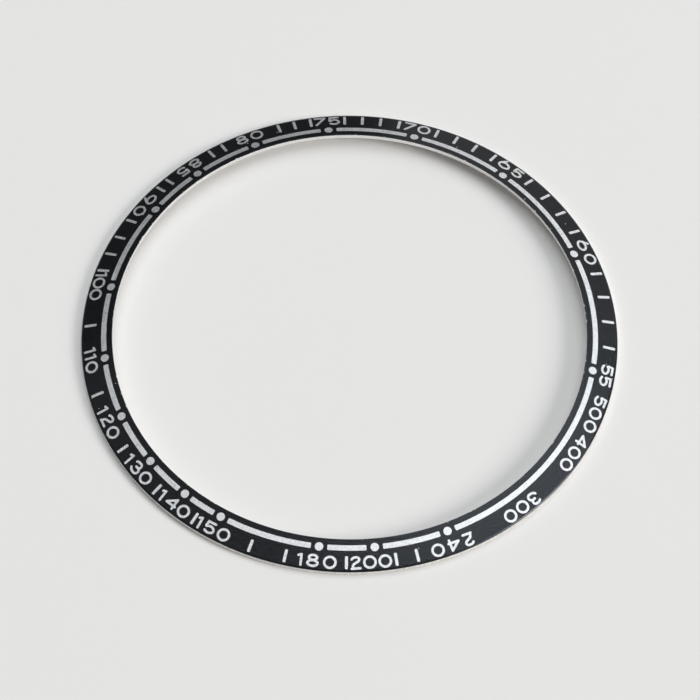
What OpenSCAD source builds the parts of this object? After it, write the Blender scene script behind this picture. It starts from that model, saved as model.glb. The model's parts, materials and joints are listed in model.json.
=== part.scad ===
// Coned insert for the bezel of a chronograph watch.
// A thin aluminium ring falls away from its bore to its rim. Its black face carries a
// silver tachymeter track: bars and dots near the bore, and unit ticks near the rim.
// The ring rests on the lower edge of its rim, and the value 60 lies towards +Y.

/* [Ring] */
// Diameter of the bore, which clears the crystal
bore_d = 34.56; // [30:0.02:40]
// Width of the band between the bore and the rim, seen from above
band_w = 2.22; // [1.9:0.01:3]
// Angle at which the face falls away from level
cone_angle = 19; // [0:0.5:40]
// Height of the rim, from the foot to the metal's upper corner
rim_h = 0.43; // [0.2:0.01:1.2]
// Bevel that breaks the four corners of the metal
edge_break = 0.03; // [0.01:0.01:0.08]

/* [Black face] */
// Thickness of the black film, measured straight down
film_t = 0.03; // [0.01:0.005:0.1]
// Bare metal between the film and the bevelled corners
film_margin = 0.01; // [0.005:0.005:0.1]

/* [Track] */
// Thickness of the silver marks, measured straight down
mark_t = 0.02; // [0.01:0.005:0.06]
// Distance from the bore to the middle of the bars and dots
track_inset = 0.6; // [0.5:0.01:0.8]
// Width of the bars
bar_w = 0.4; // [0.2:0.01:0.6]
// Diameter of the dots
dot_d = 0.64; // [0.3:0.01:0.8]
// Clear gap between a dot and the bars beside it
dot_gap = 0.27; // [0.1:0.01:0.5]
// How far the dot beside 200 sits ahead of its value, along the track
dot_lead = 0.23; // [0:0.01:0.5]
// Rounding of the corners of bars and ticks
corner_r = 0.07; // [0.02:0.01:0.09]

/* [Unit ticks] */
// Width of the ticks
tick_w = 0.24; // [0.2:0.01:0.4]
// Clear gap between the bars and the ticks
tick_gap = 0.36; // [0.2:0.01:0.5]
// Clear margin between the ticks and the rim
tick_margin = 0.17; // [0.1:0.01:0.3]

/* [Hidden] */
bore_r = bore_d / 2;
outer_r = bore_r + band_w;
fall = tan(cone_angle);

// The film stops short of both bevelled corners
film_r0 = bore_r + edge_break + film_margin;
film_r1 = outer_r - edge_break - film_margin;

// The rounding of a bar's corners stays this far inside its edges, so none of them only graze
hair = 0.002;

// The bars and dots share one circle, and the ticks fill what is left outside it
track_r = bore_r + track_inset;
tick_r0 = track_r + bar_w / 2 + tick_gap;
tick_r1 = outer_r - tick_margin;
tick_r = (tick_r0 + tick_r1) / 2;
tick_l = (tick_r1 - tick_r0) / cos(cone_angle);

// The numbers that have a dot, clockwise from the top
numbers = [60, 55, 240, 200, 180, 150, 140, 130, 120, 110, 100, 90, 85, 80, 75, 70, 65];
bars = len(numbers);

// The unit values that have a tick. The figures of the numbers cover the others.
tick_values = concat(
    [for (v = [56:59]) v], [for (v = [61:64]) v], [for (v = [66:69]) v],
    [for (v = [71:74]) v], [for (v = [76:78]) v], [82, 83, 87, 88],
    [for (v = [92:2:98]) v], [for (v = [105:10:145]) v], [160, 170, 190, 210, 220]
);

// A second hand turns 6 degrees a second, and a rate of v an hour takes 3600 / v seconds
function clockwise(v) = (6 * 3600 / v) % 360;
function along_track(s) = s / track_r * 180 / PI;
function dot_angle(i) = clockwise(numbers[i % bars]) + (i < bars ? 0 : 360)
    - (numbers[i % bars] == 200 ? along_track(dot_lead) : 0);

// Heights of the metal's lower and upper faces at a radius
function under_z(r) = (outer_r - edge_break - r) * fall;
function face_z(r) = rim_h + (outer_r - r) * fall;

function bar_name(i) = str("bar_", numbers[i], "_to_", numbers[(i + 1) % bars]);

metal = [0.80, 0.80, 0.81];
black = [0.09, 0.10, 0.12];
silver = [0.88, 0.89, 0.91];

// A coned layer that lies lift above the metal's face and is t thick
module layer(r0, r1, lift, t) {
    rotate_extrude($fn = 180)
        polygon([
            [r0, face_z(r0) + lift], [r1, face_z(r1) + lift],
            [r1, face_z(r1) + lift + t], [r0, face_z(r0) + lift + t]
        ]);
}

// Keeps only what its children share with the layer of silver on the film
module printed() {
    intersection() {
        layer(film_r0, film_r1, film_t, mark_t);
        union() children();
    }
}

// Turns its children clockwise and sets them square on the face at a radius
module on_face(angle, r) {
    rotate(-angle) translate([0, r, face_z(r)]) rotate([-cone_angle, 0, 0]) children();
}

// An arc seen from above, between two clockwise angles less than 90 degrees apart
module arc(r0, r1, a0, a1) {
    reach = r1 * 2;
    intersection() {
        difference() {
            circle(r1, $fn = 180);
            circle(r0, $fn = 180);
        }
        polygon([[0, 0], reach * [sin(a0), cos(a0)], reach * [sin(a1), cos(a1)]]);
    }
}

// A bar seen from above: an arc with square ends and rounded corners
module bar_outline(a0, a1) {
    r0 = track_r - bar_w / 2;
    r1 = track_r + bar_w / 2;
    turn = asin(corner_r / track_r);
    arc(r0 + corner_r, r1 - corner_r, a0, a1);
    arc(r0, r1, a0 + turn, a1 - turn);
    for (a = [a0 + turn, a1 - turn], r = [r0 + corner_r, r1 - corner_r])
        rotate(-a) translate([0, r]) circle(corner_r - hair, $fn = 32);
}

// A tick seen square on: a short rectangle with rounded corners
module tick_outline() {
    square([tick_w, tick_l - 2 * corner_r], center = true);
    square([tick_w - 2 * corner_r, tick_l], center = true);
    for (x = [-1, 1], y = [-1, 1])
        translate([x * (tick_w / 2 - corner_r), y * (tick_l / 2 - corner_r)]) circle(corner_r, $fn = 32);
}

// The metal: a sheet of even thickness with upright walls at its rim and bore
module insert_ring() {
    color(metal)
        rotate_extrude($fn = 180)
            polygon([
                [outer_r - edge_break, 0],
                [outer_r, edge_break],
                [outer_r, rim_h - edge_break],
                [outer_r - edge_break, face_z(outer_r - edge_break)],
                [bore_r + edge_break, face_z(bore_r + edge_break)],
                [bore_r, face_z(bore_r) - edge_break],
                [bore_r, under_z(bore_r) + edge_break],
                [bore_r + edge_break, under_z(bore_r + edge_break)]
            ]);
}

module black_face() {
    color(black) layer(film_r0, film_r1, 0, film_t);
}

// One bar of the track, from a number's dot to the next one clockwise
module track_bar(i) {
    clear = along_track(dot_d / 2 + dot_gap);
    color(silver)
        printed()
            linear_extrude(face_z(bore_r) + film_t + mark_t)
                bar_outline(dot_angle(i) + clear, dot_angle(i + 1) - clear);
}

module track_dots() {
    color(silver)
        printed()
            for (i = [0 : bars - 1])
                on_face(dot_angle(i), track_r) cylinder(h = dot_d, d = dot_d, center = true, $fn = 48);
}

module unit_ticks() {
    color(silver)
        printed()
            for (v = tick_values)
                on_face(clockwise(v), tick_r)
                    linear_extrude(tick_w, center = true) tick_outline();
}

insert_ring();
black_face();
for (i = [0 : bars - 1])
    track_bar(i);
track_dots();
unit_ticks();
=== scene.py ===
import json
import math

import bmesh
import bpy
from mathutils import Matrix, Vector


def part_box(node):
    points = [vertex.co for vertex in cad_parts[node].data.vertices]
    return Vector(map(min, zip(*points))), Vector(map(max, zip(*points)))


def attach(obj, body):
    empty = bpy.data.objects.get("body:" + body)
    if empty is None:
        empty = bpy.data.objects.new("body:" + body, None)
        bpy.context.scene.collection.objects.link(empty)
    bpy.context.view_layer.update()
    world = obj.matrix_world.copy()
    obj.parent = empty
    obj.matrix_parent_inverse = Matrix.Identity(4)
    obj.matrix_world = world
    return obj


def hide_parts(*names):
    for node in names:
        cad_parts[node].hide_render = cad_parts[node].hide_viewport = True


# Insert ring for a chronograph's bezel: a coned aluminium ring with a black face and silver marks.
# The pieces are modelled here at 1 unit = 1 mm, finer than the solids they stand for, and brought
# to metres once they are finished.

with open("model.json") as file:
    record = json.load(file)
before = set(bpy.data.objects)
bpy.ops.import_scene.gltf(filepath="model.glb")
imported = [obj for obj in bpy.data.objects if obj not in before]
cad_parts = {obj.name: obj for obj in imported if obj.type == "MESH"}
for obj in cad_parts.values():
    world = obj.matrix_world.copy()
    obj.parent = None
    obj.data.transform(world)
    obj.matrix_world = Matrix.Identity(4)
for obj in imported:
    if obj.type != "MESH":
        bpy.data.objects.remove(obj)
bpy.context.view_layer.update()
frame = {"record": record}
mm = 0.001  # metres in one unit of the modelling
mounts = {mount["name"]: mount for mount in frame["record"]["mounts"]}
seatAxis = mounts["underside_seat"]["axis"]

ring = {
    "boreR": mounts["crystal_bore"]["dims"]["r_mm"],
    "rimR": mounts["rim"]["dims"]["r_mm"],
    "slope": math.atan2(-seatAxis[1], -seatAxis[2]),  # how far the face leans from level
    "top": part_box("insert_ring")[1].z / mm,
    "corner": 0.03,  # rounding of the two lower corners
    "boreEdge": 0.015,  # rounding of the upper corner at the bore
    "cornerSegments": 3,
    "bevelWidth": 0.095,  # the bevel at the rim, seen from above
    "bevelLean": math.radians(38),
    "bevelEdge": 0.01,  # rounding of the bevel's two edges
    "bevelEdgeSegments": 2,
    "steps": 720,  # facets round the ring
    "crispFrom": math.radians(40),  # edges that turn further than this stay crisp
    "faceWeight": 90,  # how firmly the large faces hold the shading flat, up to 100
}
fall = math.tan(ring["slope"])
rimTop = ring["top"] - (ring["rimR"] - ring["boreR"] - ring["corner"]) * fall
middleR = (ring["boreR"] + ring["rimR"]) / 2
bevelR = ring["rimR"] - ring["bevelWidth"]
filmThick = 0.02  # square to the metal


def metalZ(radius):
    return rimTop + (ring["rimR"] - radius) * fall


def filmZ(radius):
    return metalZ(radius) + filmThick / math.cos(ring["slope"])


# Small helpers for modelling by hand

mergeWithin = 0.001  # vertices closer than this become one


def only(*pieces):
    bpy.ops.object.select_all(action="DESELECT")
    for piece in pieces:
        piece.select_set(True)
    bpy.context.view_layer.objects.active = pieces[0]


def settle(*pieces):
    # moves each piece's place, turn and size into its mesh
    only(*pieces)
    bpy.ops.object.transform_apply(location=True, rotation=True, scale=True)


def startEdit(piece):
    only(piece)
    bpy.ops.object.mode_set(mode="EDIT")
    bpy.ops.mesh.select_mode(type="VERT")
    bpy.ops.mesh.select_all(action="SELECT")


def endEdit():
    bpy.ops.object.mode_set(mode="OBJECT")


def pick(piece, test):
    # selects the vertices that pass the test, with the edges and faces between them
    mesh = bmesh.from_edit_mesh(piece.data)
    for part in (*mesh.faces, *mesh.edges, *mesh.verts):
        part.select = False
    for vert in mesh.verts:
        vert.select = test(vert)
    mesh.select_flush_mode()
    bmesh.update_edit_mesh(piece.data)


def roundPicked(length, segments):
    bpy.ops.mesh.bevel(offset=length, segments=segments, affect="VERTICES")


def mergeDoubles():
    bpy.ops.mesh.select_all(action="SELECT")
    bpy.ops.mesh.remove_doubles(threshold=mergeWithin)


def faceOutwards():
    bpy.ops.mesh.select_all(action="SELECT")
    bpy.ops.mesh.normals_make_consistent(inside=False)


def drawOut(move):
    bpy.ops.mesh.extrude_region_move(TRANSFORM_OT_translate={"value": move})


def addPlane(name, size, place=(0, 0, 0), lean=0.0):
    bpy.ops.mesh.primitive_plane_add(size=1, location=place, rotation=(lean, 0, 0))
    piece = bpy.context.object
    piece.name = piece.data.name = name
    piece.scale = (*size, 1)
    settle(piece)
    return piece


def applyModifier(piece, kind, **settings):
    only(piece)
    modifier = piece.modifiers.new(kind.title(), kind)
    for key, value in settings.items():
        setattr(modifier, key, value)
    bpy.ops.object.modifier_apply(modifier=modifier.name)


def copyOf(piece, name):
    twin = piece.copy()
    twin.data = piece.data.copy()
    twin.name = twin.data.name = name
    bpy.context.scene.collection.objects.link(twin)
    return twin


def joined(pieces, name):
    only(*pieces)
    bpy.ops.object.join()
    piece = bpy.context.object
    piece.name = piece.data.name = name
    return piece


# Ring and film: a section is drawn beside the axis and spun round it


def isLow(vert):
    return vert.co.z < metalZ(vert.co.x) - rimTop / 2


def drawSection(name):
    # upright walls and coned faces, with a foot that just touches the floor once it is rounded
    footRadius = ring["corner"] * math.tan((math.radians(90) - ring["slope"]) / 2)
    foot = footRadius - ring["corner"]
    band = ring["rimR"] - ring["boreR"]
    size = (band, rimTop - foot)
    piece = addPlane(name, size, (middleR, 0, (rimTop + foot) / 2), lean=math.radians(90))
    startEdit(piece)
    pick(piece, lambda vert: vert.co.x < middleR)
    bpy.ops.transform.translate(value=(0, 0, band * fall))
    pick(piece, isLow)
    roundPicked(ring["corner"], ring["cornerSegments"])
    pick(piece, lambda vert: not isLow(vert) and vert.co.x < middleR)
    roundPicked(ring["boreEdge"], ring["cornerSegments"])
    # an even bevel at the rim, whose outer edge is then moved until it leans as it should
    width = ring["bevelWidth"]
    even = width / math.cos(ring["slope"])
    drop = width * (math.tan(ring["bevelLean"]) - fall)
    pick(piece, lambda vert: not isLow(vert) and vert.co.x > middleR)
    roundPicked(even, 1)
    pick(piece, lambda vert: not isLow(vert) and vert.co.x > ring["rimR"] - width / 2)
    bpy.ops.transform.translate(value=(0, 0, even - drop))
    pick(piece, lambda vert: not isLow(vert) and vert.co.x > middleR)
    roundPicked(ring["bevelEdge"], ring["bevelEdgeSegments"])
    bpy.ops.mesh.select_all(action="SELECT")
    bpy.ops.mesh.delete(type="ONLY_FACE")
    return piece


def spinSection():
    bpy.ops.mesh.select_all(action="SELECT")
    bpy.ops.mesh.spin(steps=ring["steps"], angle=math.tau, center=(0, 0, 0), axis=(0, 0, 1))
    faceOutwards()
    endEdit()


def shadeRing(piece):
    # smooth round the ring and over its rounded corners, crisp at the others
    bpy.ops.object.shade_smooth_by_angle(angle=ring["crispFrom"])
    applyModifier(piece, "WEIGHTED_NORMAL", weight=ring["faceWeight"], keep_sharp=True)


def makeMetal():
    piece = drawSection("ring_metal")
    spinSection()
    shadeRing(piece)
    return piece


def makeFilm():
    # a thin coat over the metal's face that reaches round both of its upper corners
    piece = drawSection("ring_black_film")
    pick(piece, isLow)
    bpy.ops.mesh.delete(type="VERT")
    spinSection()
    applyModifier(piece, "SOLIDIFY", thickness=filmThick, offset=1)
    shadeRing(piece)
    return piece


ringMetal = makeMetal()
blackFilm = makeFilm()
print("ring and film spun")


# Silver marks: flat shapes laid on the film, then given their thickness

marks = {
    "thick": 0.014,  # square to the face
    "cornerR": 0.07,
    "cornerSegments": 5,
    "crispFrom": math.radians(30),
}

track = {
    "radius": ring["boreR"] + 0.6,  # the middle of the bars and dots
    "barWidth": 0.39,
    "dotSize": 0.61,
    "dotCorners": 48,
    "gap": 0.285,  # clear, from a dot to the bars beside it
    "lead": 0.23,  # the dot beside 200 sits this far ahead of its value
    "stepDeg": 0.5,
    "numbers": [60, 55, 240, 200, 180, 150, 140, 130, 120, 110, 100, 90, 85, 80, 75, 70, 65],
}


def clockwise(value):
    # a second hand turns 6 degrees a second, and a rate of value an hour takes 3600 / value s
    return (6 * 3600 / value) % 360


def alongTrack(length):
    return math.degrees(length / track["radius"])


def dotAngle(value):
    return clockwise(value) - (alongTrack(track["lead"]) if value == 200 else 0)


def putOnFace(piece, angle, radius):
    # tangent to the cone, with the piece's +Y outwards and its +X clockwise
    turn = math.radians(angle)
    piece.location = (radius * math.sin(turn), radius * math.cos(turn), filmZ(radius))
    piece.rotation_euler = (-ring["slope"], 0, -turn)
    settle(piece)


def laySilver(piece):
    # wraps a flat mark onto the film and gives it its thickness
    applyModifier(piece, "SHRINKWRAP", target=blackFilm, wrap_method="NEAREST_SURFACEPOINT")
    startEdit(piece)
    mesh = bmesh.from_edit_mesh(piece.data)
    mesh.normal_update()
    for face in mesh.faces:
        face.select_set(face.normal.z < 0)
    bmesh.update_edit_mesh(piece.data)
    bpy.ops.mesh.flip_normals()
    endEdit()
    applyModifier(piece, "SOLIDIFY", thickness=marks["thick"], offset=1)
    bpy.ops.object.shade_smooth_by_angle(angle=marks["crispFrom"])


def roundCorners(piece, length, segments):
    pick(piece, lambda vert: len(vert.link_edges) == 2)
    roundPicked(length, segments)


def penEdge(name, width):
    # one edge along Y through the origin, ready to be drawn out
    piece = addPlane(name, (width, width), (width / 2, 0, 0))
    startEdit(piece)
    pick(piece, lambda vert: vert.co.x > width / 2)
    bpy.ops.mesh.delete(type="VERT")
    endEdit()
    return piece


def makeBar(name, start, end):
    piece = penEdge(name, track["barWidth"])
    putOnFace(piece, start, track["radius"])
    startEdit(piece)
    turn = end - start
    steps = round(turn / track["stepDeg"])
    bpy.ops.mesh.spin(steps=steps, angle=math.radians(turn), center=(0, 0, 0), axis=(0, 0, 1))
    roundCorners(piece, marks["cornerR"], marks["cornerSegments"])
    endEdit()
    laySilver(piece)
    return piece


def makeBars():
    # one from each number's dot to the next dot clockwise. The last one ends at 360, not at 0.
    clear = alongTrack(track["dotSize"] / 2 + track["gap"])
    values = track["numbers"]
    made = {}
    for value, after in zip(values, values[1:] + values[:1]):
        node = f"bar_{value}_to_{after}"
        end = dotAngle(after) or 360
        made[node] = makeBar("silver_" + node, dotAngle(value) + clear, end - clear)
    return made


def makeDots():
    made = []
    for value in track["numbers"]:
        bpy.ops.mesh.primitive_circle_add(radius=track["dotSize"] / 2,
                                          vertices=track["dotCorners"], fill_type="NGON")
        made.append(bpy.context.object)
        putOnFace(made[-1], dotAngle(value), track["radius"])
    piece = joined(made, "silver_dots")
    laySilver(piece)
    return piece


ticks = {
    "width": 0.215,
    "fromTrack": 0.56,  # from the middle of the track to their inner ends
    "fromRim": 0.17,
    "values": [*range(56, 60), *range(61, 65), *range(66, 70), *range(71, 75), 76, 77, 78,
               82, 83, 87, 88, *range(92, 100, 2), *range(105, 150, 10), 160, 170, 190, 210, 220],
}
tickR0 = track["radius"] + ticks["fromTrack"]
tickR1 = ring["rimR"] - ticks["fromRim"]


def makeTicks():
    first = addPlane("tick", (ticks["width"], (tickR1 - tickR0) / math.cos(ring["slope"])))
    startEdit(first)
    roundCorners(first, marks["cornerR"], marks["cornerSegments"])
    endEdit()
    copies = [copyOf(first, "tick") for _ in ticks["values"]]
    for tick, value in zip(copies, ticks["values"]):
        putOnFace(tick, clockwise(value), (tickR0 + tickR1) / 2)
    bpy.data.objects.remove(first)
    piece = joined(copies, "silver_ticks")
    laySilver(piece)
    return piece


bars = makeBars()
dots = makeDots()
unitTicks = makeTicks()
print("track laid:", len(bars), "bars, as many dots and", len(ticks["values"]), "ticks")


# Figures: each digit is drawn once with a round pen, then copied to its places

figures = {
    "pen": 0.176,
    "middle": 0.48,  # height of a digit's middle above its feet
    "radius": 18.885,
    "stepDeg": 12,
    "roundEnd": 0.49,  # share of the pen that each corner of an end is rounded by
    "endSegments": 4,
    "ovalEnd": 52,  # half the turn of the tight bend at each end of an oval
}


# A stroke has a start, a heading in degrees, its moves and whether it closes on itself. A move
# that is a number is a straight run, and a pair is a bend: its radius and how far it turns,
# leftwards if positive. Strokes that meet overlap, and their round ends never share a centre.
def line(x0, y0, x1, y1):
    heading = math.degrees(math.atan2(y1 - y0, x1 - x0))
    return (x0, y0), heading, [math.hypot(x1 - x0, y1 - y0)], False


def bent(x, y, heading, *moves):
    return (x, y), heading, moves, False


def oval(x, y, halfWidth, halfHeight):
    # four bends in one round: tight at the sides, wide above and below
    tight = math.radians(figures["ovalEnd"])
    step = (halfWidth - halfHeight) / (math.sin(tight) + math.cos(tight) - 1)
    side = (halfWidth - step * math.cos(tight), figures["ovalEnd"])
    wide = (halfHeight + step * math.sin(tight), 180 - 2 * figures["ovalEnd"])
    return (x + halfWidth, y), 90, [side, wide, side, side, wide, side], True


digitStrokes = {
    "0": [oval(0, 0.48, 0.405, 0.40)],
    "1": [line(0.09, 0.09, 0.09, 0.86), line(0.06, 0.849, -0.12, 0.78)],
    "2": [bent(-0.27, 0.77, 50, (0.36, -50), 0.10, (0.165, -152), 0.31, (0.24, 62), 0.06),
          line(-0.30, 0.095, 0.31, 0.095)],
    "3": [bent(-0.30, 0.80, 40, (0.38, -40), 0.12, (0.185, -180), 0.11),
          bent(-0.02, 0.52, 0, 0.16, (0.22, -180), 0.12, (0.40, -55))],
    "4": [line(0.26, 0.87, -0.385, 0.33), line(-0.35, 0.33, 0.385, 0.33),
          line(0.26, 0.84, 0.26, 0.10)],
    "5": [line(0.28, 0.87, -0.30, 0.87), line(-0.3026, 0.84, -0.33, 0.52),
          bent(-0.292, 0.495, 38, (0.45, -76), (0.19, -104), (0.45, -70), 0.05)],
    "6": [oval(0, 0.385, 0.405, 0.285), line(-0.08, 0.93, -0.35, 0.57)],
    "7": [line(-0.36, 0.86, 0.36, 0.86), line(0.341, 0.837, -0.27, 0.08)],
    "8": [oval(0, 0.30, 0.36, 0.21), oval(0, 0.705, 0.295, 0.18)],
}


def ahead(turn):
    return Vector((math.cos(turn), math.sin(turn), 0))


def drawStroke(start, heading, moves, closed):
    # a pen as wide as the line is drawn out straight and spun round the bends
    pen = figures["pen"]
    piece = penEdge("stroke", pen)
    place = Vector((*start, 0))
    turn = math.radians(heading)
    piece.location = place
    piece.rotation_euler = (0, 0, turn)
    settle(piece)
    startEdit(piece)
    if not closed:
        # half a pen is added before the start and after the end, to be rounded
        bpy.ops.transform.translate(value=ahead(turn) * -pen / 2)
        drawOut(ahead(turn) * pen / 2)
        moves = [*moves, pen / 2]
    for move in moves:
        if isinstance(move, tuple):
            radius, degrees = move
            side = math.radians(math.copysign(90, degrees))
            centre = place + ahead(turn + side) * radius
            steps = math.ceil(abs(degrees) / figures["stepDeg"])
            bpy.ops.mesh.spin(steps=steps, angle=-math.radians(degrees), center=centre,
                              axis=(0, 0, 1))
            turn += math.radians(degrees)
            place = centre - ahead(turn + side) * radius
        else:
            drawOut(ahead(turn) * move)
            place += ahead(turn) * move
    if closed:
        mergeDoubles()
    else:
        roundCorners(piece, pen * figures["roundEnd"], figures["endSegments"])
    bpy.ops.mesh.select_all(action="SELECT")
    drawOut((0, 0, pen))
    faceOutwards()
    endEdit()
    return piece


def makeDigit(digit):
    strokes = [drawStroke(*stroke) for stroke in digitStrokes[digit]]
    piece = strokes[0]
    piece.name = piece.data.name = "digit_" + digit
    for other in strokes[1:]:
        applyModifier(piece, "BOOLEAN", object=other, operation="UNION", solver="EXACT")
        bpy.data.objects.remove(other)
    # only the top of the joined strokes is kept, and becomes a flat shape round the origin
    startEdit(piece)
    pick(piece, lambda vert: vert.co.z < figures["pen"] / 2)
    bpy.ops.mesh.delete(type="VERT")
    mergeDoubles()
    bpy.ops.transform.translate(value=(0, -figures["middle"], -figures["pen"]))
    endEdit()
    return piece


def turnOver(piece):
    piece.rotation_euler = (0, 0, math.pi)
    settle(piece)


def makeDigits():
    made = {digit: makeDigit(digit) for digit in digitStrokes}
    made["9"] = copyOf(made["6"], "digit_9")
    turnOver(made["9"])
    return made


# where the digits stand, in mm from the middle of the figure, in reading direction
digitPlaces = {
    60: (-0.62, 0.67), 55: (-0.42, 0.55), 500: (-1.15, -0.08, 1.08), 400: (-1.12, 0.02, 1.16),
    300: (-1.10, 0.0, 1.14), 240: (-1.21, -0.09, 1.16), 200: (-1.22, -0.20, 0.90),
    180: (-1.26, -0.33, 0.90), 150: (-1.20, -0.28, 0.84), 140: (-1.31, -0.34, 0.76),
    130: (-1.27, -0.34, 0.77), 120: (-1.22, -0.27, 0.83), 110: (-0.98, -0.41, 0.46),
    100: (-1.10, -0.33, 0.69), 90: (-0.64, 0.63), 85: (-0.57, 0.59), 80: (-0.65, 0.53),
    75: (-0.56, 0.50), 70: (-0.62, 0.48), 65: (-0.61, 0.59),
}
feetOutwards = [200, 180, 150, 140, 130, 120, 110, 100, 90, 85]


def makeFigure(value, digits):
    copies = []
    for digit, place in zip(str(value), digitPlaces[value]):
        piece = copyOf(digits[digit], "digit")
        piece.location = (place, 0, 0)
        copies.append(piece)
    settle(*copies)
    piece = joined(copies, f"figure_{value}")
    if value in feetOutwards:
        turnOver(piece)
    putOnFace(piece, clockwise(value), figures["radius"])
    laySilver(piece)
    return piece


def makeFigures():
    digits = makeDigits()
    made = [makeFigure(value, digits) for value in digitPlaces]
    for digit in digits.values():
        bpy.data.objects.remove(digit)
    return made


scaleFigures = makeFigures()
print("figures set:", len(scaleFigures))


# Finishes


class Value:
    # one socket of a shader, so that sums on it add their Math nodes

    def __init__(self, finish, socket):
        self.finish = finish
        self.socket = socket

    def sum(self, operation, first, second):
        return self.finish.add("Math", {"operation": operation}, {0: first, 1: second})

    def __add__(self, other):
        return self.sum("ADD", self, other)

    def __radd__(self, other):
        return self.sum("ADD", other, self)

    def __sub__(self, other):
        return self.sum("SUBTRACT", self, other)

    def __rsub__(self, other):
        return self.sum("SUBTRACT", other, self)

    def __mul__(self, other):
        return self.sum("MULTIPLY", self, other)

    def __rmul__(self, other):
        return self.sum("MULTIPLY", other, self)


class Finish:
    # a material and the one way that nodes are added to it

    def __init__(self, name):
        self.material = bpy.data.materials.new(name)
        self.material.use_nodes = True
        self.tree = self.material.node_tree
        self.tree.nodes.clear()

    def add(self, kind, settings=None, inputs=None, output=0):
        node = self.tree.nodes.new("ShaderNode" + kind)
        for key, value in (settings or {}).items():
            setattr(node, key, value)
        for key, value in (inputs or {}).items():
            if isinstance(value, Value):
                self.tree.links.new(value.socket, node.inputs[key])
            else:
                node.inputs[key].default_value = value
        return Value(self, node.outputs[output]) if node.outputs else None

    def place(self):
        return self.add("TexCoord", output="Object")

    def noise(self, scale, detail=2, contrast=1):
        # stretched about its middle by the contrast
        inputs = {"Vector": self.place(), "Scale": scale, "Detail": detail}
        return (self.add("TexNoise", {}, inputs) - 0.5) * contrast + 0.5

    def step(self, value, none, full):
        # 0 at none and before it, 1 at full and past it, and smooth between them
        inputs = {0: value, 1: none, 2: full}
        return self.add("MapRange", {"interpolation_type": "SMOOTHSTEP"}, inputs)

    def radius(self):
        # distance from the ring's axis, in metres
        flat = self.add("VectorMath", {"operation": "MULTIPLY"}, {0: self.place(), 1: (1, 1, 0)})
        return self.add("VectorMath", {"operation": "LENGTH"}, {0: flat}, output="Value")

    def stepByRadius(self, none, full):
        return self.step(self.radius(), none * mm, full * mm)

    def mix(self, share, first, second):
        inputs = {0: share, 6: first, 7: second}
        return self.add("Mix", {"data_type": "RGBA"}, inputs, output=2)

    def bump(self, height, strength, depth):
        return self.add("Bump", {}, {"Height": height, "Strength": strength, "Distance": depth})

    def finished(self, inputs):
        shader = self.add("BsdfPrincipled", {}, inputs)
        self.add("OutputMaterial", {}, {"Surface": shader})
        return self.material


# Noises and cells are sized by how many fit in a metre, and bump depths are in metres

silver = {
    "dark": (0.72, 0.73, 0.75, 1),
    "light": (1.0, 1.0, 1.0, 1),
    "grain": {"scale": 8500, "contrast": 3},
    "mottle": {"scale": 2200, "contrast": 2},
    "grainShare": 0.75,  # of the tone; the mottle makes the rest
    "roughness": 0.275,
    "grainRoughness": 0.06,
    "mottleRoughness": 0.03,
    "bump": {"strength": 0.4, "depth": 0.000008},
}


def silverFinish():
    finish = Finish("satin_silver")
    grain = finish.noise(**silver["grain"])
    mottle = finish.noise(**silver["mottle"])
    tone = grain * silver["grainShare"] + mottle * (1 - silver["grainShare"])
    rough = grain * silver["grainRoughness"] + mottle * silver["mottleRoughness"]
    return finish.finished({
        "Base Color": finish.mix(tone, silver["dark"], silver["light"]),
        "Metallic": 1.0,
        "Roughness": rough + silver["roughness"],
        "Normal": finish.bump(grain, **silver["bump"]),
    })


black = {
    "dark": (0.0002, 0.0002, 0.0003, 1),
    "light": (0.005, 0.0055, 0.0075, 1),
    "ior": 1.54,
    # painted cool light: a bluish tint given to all of the film's reflections
    "reflection": (0.86, 0.92, 1.0, 1),
    "grain": {"scale": 8000, "contrast": 4},
    "cloud": {"scale": 500},
    "roughness": 0.09,
    "grainRoughness": 0.03,
    "cloudRoughness": 0.03,
    "bevelRoughness": 0.22,
    "bevelBlur": (0.005, 0.015),  # mm into the bevel, over which its own roughness sets in
    "bump": {"strength": 0.3, "depth": 0.000006},
}

dust = {
    "colour": (0.85, 0.84, 0.82, 1),
    "cells": 420,  # each with room for one speck
    "size": (0.016, 0.008),  # its outer edge and its full colour, in cells from its middle
    "chance": (0.66, 0.68),  # the random tone above which a cell has its speck
    "roughness": 0.4,
}

wear = {
    "colour": (0.66, 0.64, 0.62, 1),
    "spots": {"scale": 3600, "detail": 3},
    "level": (0.62, 0.66),  # of the noise, above which the film is gone
    "reach": (0.045, 0.015),  # mm from the bore: where the spots end, and where they are full
    "roughness": 0.2,
}


def blackFinish():
    finish = Finish("black_anodised")
    grain = finish.noise(**black["grain"])
    cloud = finish.noise(**black["cloud"])
    shade = finish.mix(grain, black["dark"], black["light"])
    # a few specks of dust
    flat = {"voronoi_dimensions": "2D"}
    cells = {"Vector": finish.place(), "Scale": dust["cells"]}
    chance = finish.add("TexVoronoi", flat, cells, output="Color")
    middle = finish.add("TexVoronoi", flat, cells)
    speck = finish.step(middle, *dust["size"]) * finish.step(chance, *dust["chance"])
    # bare spots along the edge at the bore, where the film is worn through
    atBore = finish.stepByRadius(*(ring["boreR"] + reach for reach in wear["reach"]))
    worn = atBore * finish.step(finish.noise(**wear["spots"]), *wear["level"])
    atBevel = finish.stepByRadius(*(bevelR + blur for blur in black["bevelBlur"]))
    rough = atBevel * black["bevelRoughness"] + worn * wear["roughness"]
    rough = rough + speck * dust["roughness"] + grain * black["grainRoughness"]
    rough = rough + cloud * black["cloudRoughness"] + black["roughness"]
    return finish.finished({
        "Base Color": finish.mix(worn, finish.mix(speck, shade, dust["colour"]), wear["colour"]),
        "Metallic": worn,
        "Roughness": rough,
        "IOR": black["ior"],
        # the painted bluish tint of the film's reflections
        "Specular Tint": black["reflection"],
        "Normal": finish.bump(grain, **black["bump"]),
    })


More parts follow.
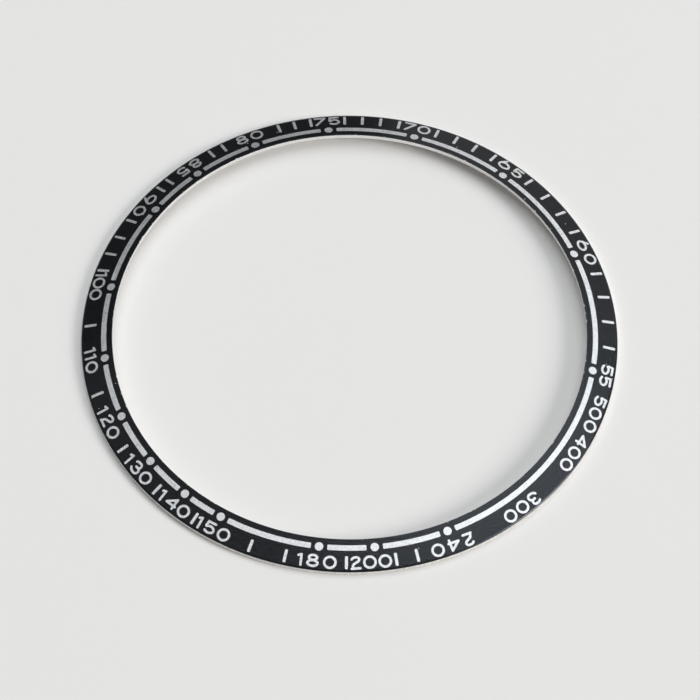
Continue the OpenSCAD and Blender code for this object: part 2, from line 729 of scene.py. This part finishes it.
aluminium = {
    "dull": ((0.74, 0.71, 0.69, 1), (1.0, 0.99, 0.97, 1)),
    "bright": ((0.88, 0.87, 0.86, 1), (0.98, 0.97, 0.96, 1)),  # at the bore
    "boreEdge": (0.03, 0.01),  # mm from the bore, from dull to bright
    "grain": {"scale": 5500, "detail": 3, "contrast": 3},
    "lines": 24000,
    "metallic": 0.4,
    "boreMetallic": 0.55,  # more at the bore
    "roughness": 0.42,
    "grainRoughness": 0.1,
    "lineRoughness": 0.1,
    "boreRoughness": 0.05,  # less at the bore
    "grainHeight": 0.5,  # of the height of the lines
    "bump": {"strength": 0.3, "depth": 0.000005},
}


def metalFinish():
    finish = Finish("turned_aluminium")
    grain = finish.noise(**aluminium["grain"])
    # fine turning lines round the axis, on walls and faces alike
    height = finish.add("SeparateXYZ", {}, {0: finish.place()}, output="Z")
    across = {"W": finish.radius() + height, "Scale": aluminium["lines"]}
    lines = finish.add("TexNoise", {"noise_dimensions": "1D"}, across)
    atBore = finish.stepByRadius(*(ring["boreR"] + reach for reach in aluminium["boreEdge"]))
    dull = finish.mix(grain, *aluminium["dull"])
    bright = finish.mix(grain, *aluminium["bright"])
    rough = grain * aluminium["grainRoughness"] + lines * aluminium["lineRoughness"]
    rough = rough - atBore * aluminium["boreRoughness"] + aluminium["roughness"]
    relief = grain * aluminium["grainHeight"] + lines
    return finish.finished({
        "Base Color": finish.mix(atBore, dull, bright),
        "Metallic": atBore * aluminium["boreMetallic"] + aluminium["metallic"],
        "Roughness": rough,
        "Normal": finish.bump(relief, **aluminium["bump"]),
    })


finishes = {
    "silver_marks": silverFinish(),
    "black_anodised": blackFinish(),
    "bare_aluminium": metalFinish(),
}
print("finishes made")


def handOver(piece, slot, *nodes):
    # metres, the body it rides on, its finish and the nodes that it stands for
    piece.scale = (mm, mm, mm)
    settle(piece)
    piece.data.materials.clear()
    piece.data.materials.append(finishes[slot])
    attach(piece, "root")
    if nodes:
        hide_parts(*nodes)


handOver(ringMetal, "bare_aluminium", "insert_ring")
handOver(blackFilm, "black_anodised", "black_face")
for node, bar in bars.items():
    handOver(bar, "silver_marks", node)
handOver(dots, "silver_marks", "track_dots")
handOver(unitTicks, "silver_marks", "unit_ticks")
for figure in scaleFigures:
    handOver(figure, "silver_marks")
print("pieces handed over")


# Camera, floor and light

# Lengths in mm and angles in degrees
view = {
    "azimuth": 336.48,  # from +X, seen from above
    "elevation": 58.344,
    "distance": 456.4,
    "lens": 322.7,
    "roll": 0.61,
    "lookAt": 1.02,  # height of the middle of the track
    "nearer": 1.33,  # the view's middle lies this far in front of the ring's axis
    "aside": 0.04,
    "clipStart": 10,
}
near = ahead(math.radians(view["azimuth"]))  # level, towards the camera
right = ahead(math.radians(view["azimuth"] + 90))  # level, towards the picture's right

# Lengths in metres and angles in degrees. A lamp's bearing goes round from the picture's right,
# and half is half the angle that the lamp fills as the ring sees it.
studio = {
    "floorSize": 3.0,
    "floorColour": (0.83, 0.82, 0.805, 1),
    "floorRoughness": 0.9,
    "ambient": 0.145,
    "lampDistance": 2.0,
    "lamps": {
        "side": {"bearing": -21.5, "up": 28, "half": 12.8, "glow": 13.6, "colour": (1, 0.99, 0.97)},
        "window": {"bearing": 79, "up": 65.7, "half": 31, "glow": 1.76, "colour": (0.93, 0.97, 1)},
        "front": {"bearing": 182, "up": 74.5, "half": 36, "glow": 0.18, "colour": (1, 0.99, 0.98)},
        "far": {"bearing": 57, "up": 15.2, "half": 28, "glow": 0.38, "colour": (1, 1, 1)},
    },
}


def raised(level, degrees):
    rise = math.radians(degrees)
    return level * math.cos(rise) + Vector((0, 0, math.sin(rise)))


def aim(thing, target, roll=0.0):
    towards = Vector(target) - thing.location
    thing.rotation_euler = towards.to_track_quat("-Z", "Y").to_euler()
    thing.rotation_euler.rotate_axis("Z", math.radians(roll))


def makeCamera():
    camera = bpy.data.objects.new("camera", bpy.data.cameras.new("camera"))
    bpy.context.scene.collection.objects.link(camera)
    middle = Vector((0, 0, view["lookAt"] * mm))
    camera.location = middle + raised(near, view["elevation"]) * view["distance"] * mm
    camera.data.lens = view["lens"]
    camera.data.clip_start = view["clipStart"] * mm
    target = middle + (near * view["nearer"] + right * view["aside"]) * mm
    aim(camera, target, view["roll"])
    bpy.context.scene.camera = camera


def addLamp(name, bearing, up, half, glow, colour):
    turn = math.radians(bearing)
    towards = raised(right * math.cos(turn) - near * math.sin(turn), up)
    radius = studio["lampDistance"] * math.tan(math.radians(half))
    lamp = bpy.data.objects.new(name, bpy.data.lights.new(name, "AREA"))
    lamp.data.shape = "DISK"
    lamp.data.size = radius * 2
    lamp.data.energy = glow * math.pi * math.pi * radius ** 2  # watts of a disk that glows so
    lamp.data.color = colour
    lamp.location = towards * studio["lampDistance"]
    aim(lamp, (0, 0, 0))
    bpy.context.scene.collection.objects.link(lamp)


def makeStudio():
    floor = addPlane("floor", (studio["floorSize"], studio["floorSize"]))
    pale = {"Base Color": studio["floorColour"], "Roughness": studio["floorRoughness"]}
    floor.data.materials.append(Finish("pale_floor").finished(pale))
    world = bpy.data.worlds.new("studio")
    bpy.context.scene.world = world
    world.use_nodes = True
    background = world.node_tree.nodes["Background"]
    background.inputs["Strength"].default_value = studio["ambient"]
    background.inputs["Color"].default_value = (1, 1, 1, 1)
    for name, lamp in studio["lamps"].items():
        addLamp(name, **lamp)


makeCamera()
makeStudio()
bpy.context.scene.view_settings.view_transform = "Standard"
print("studio lit")
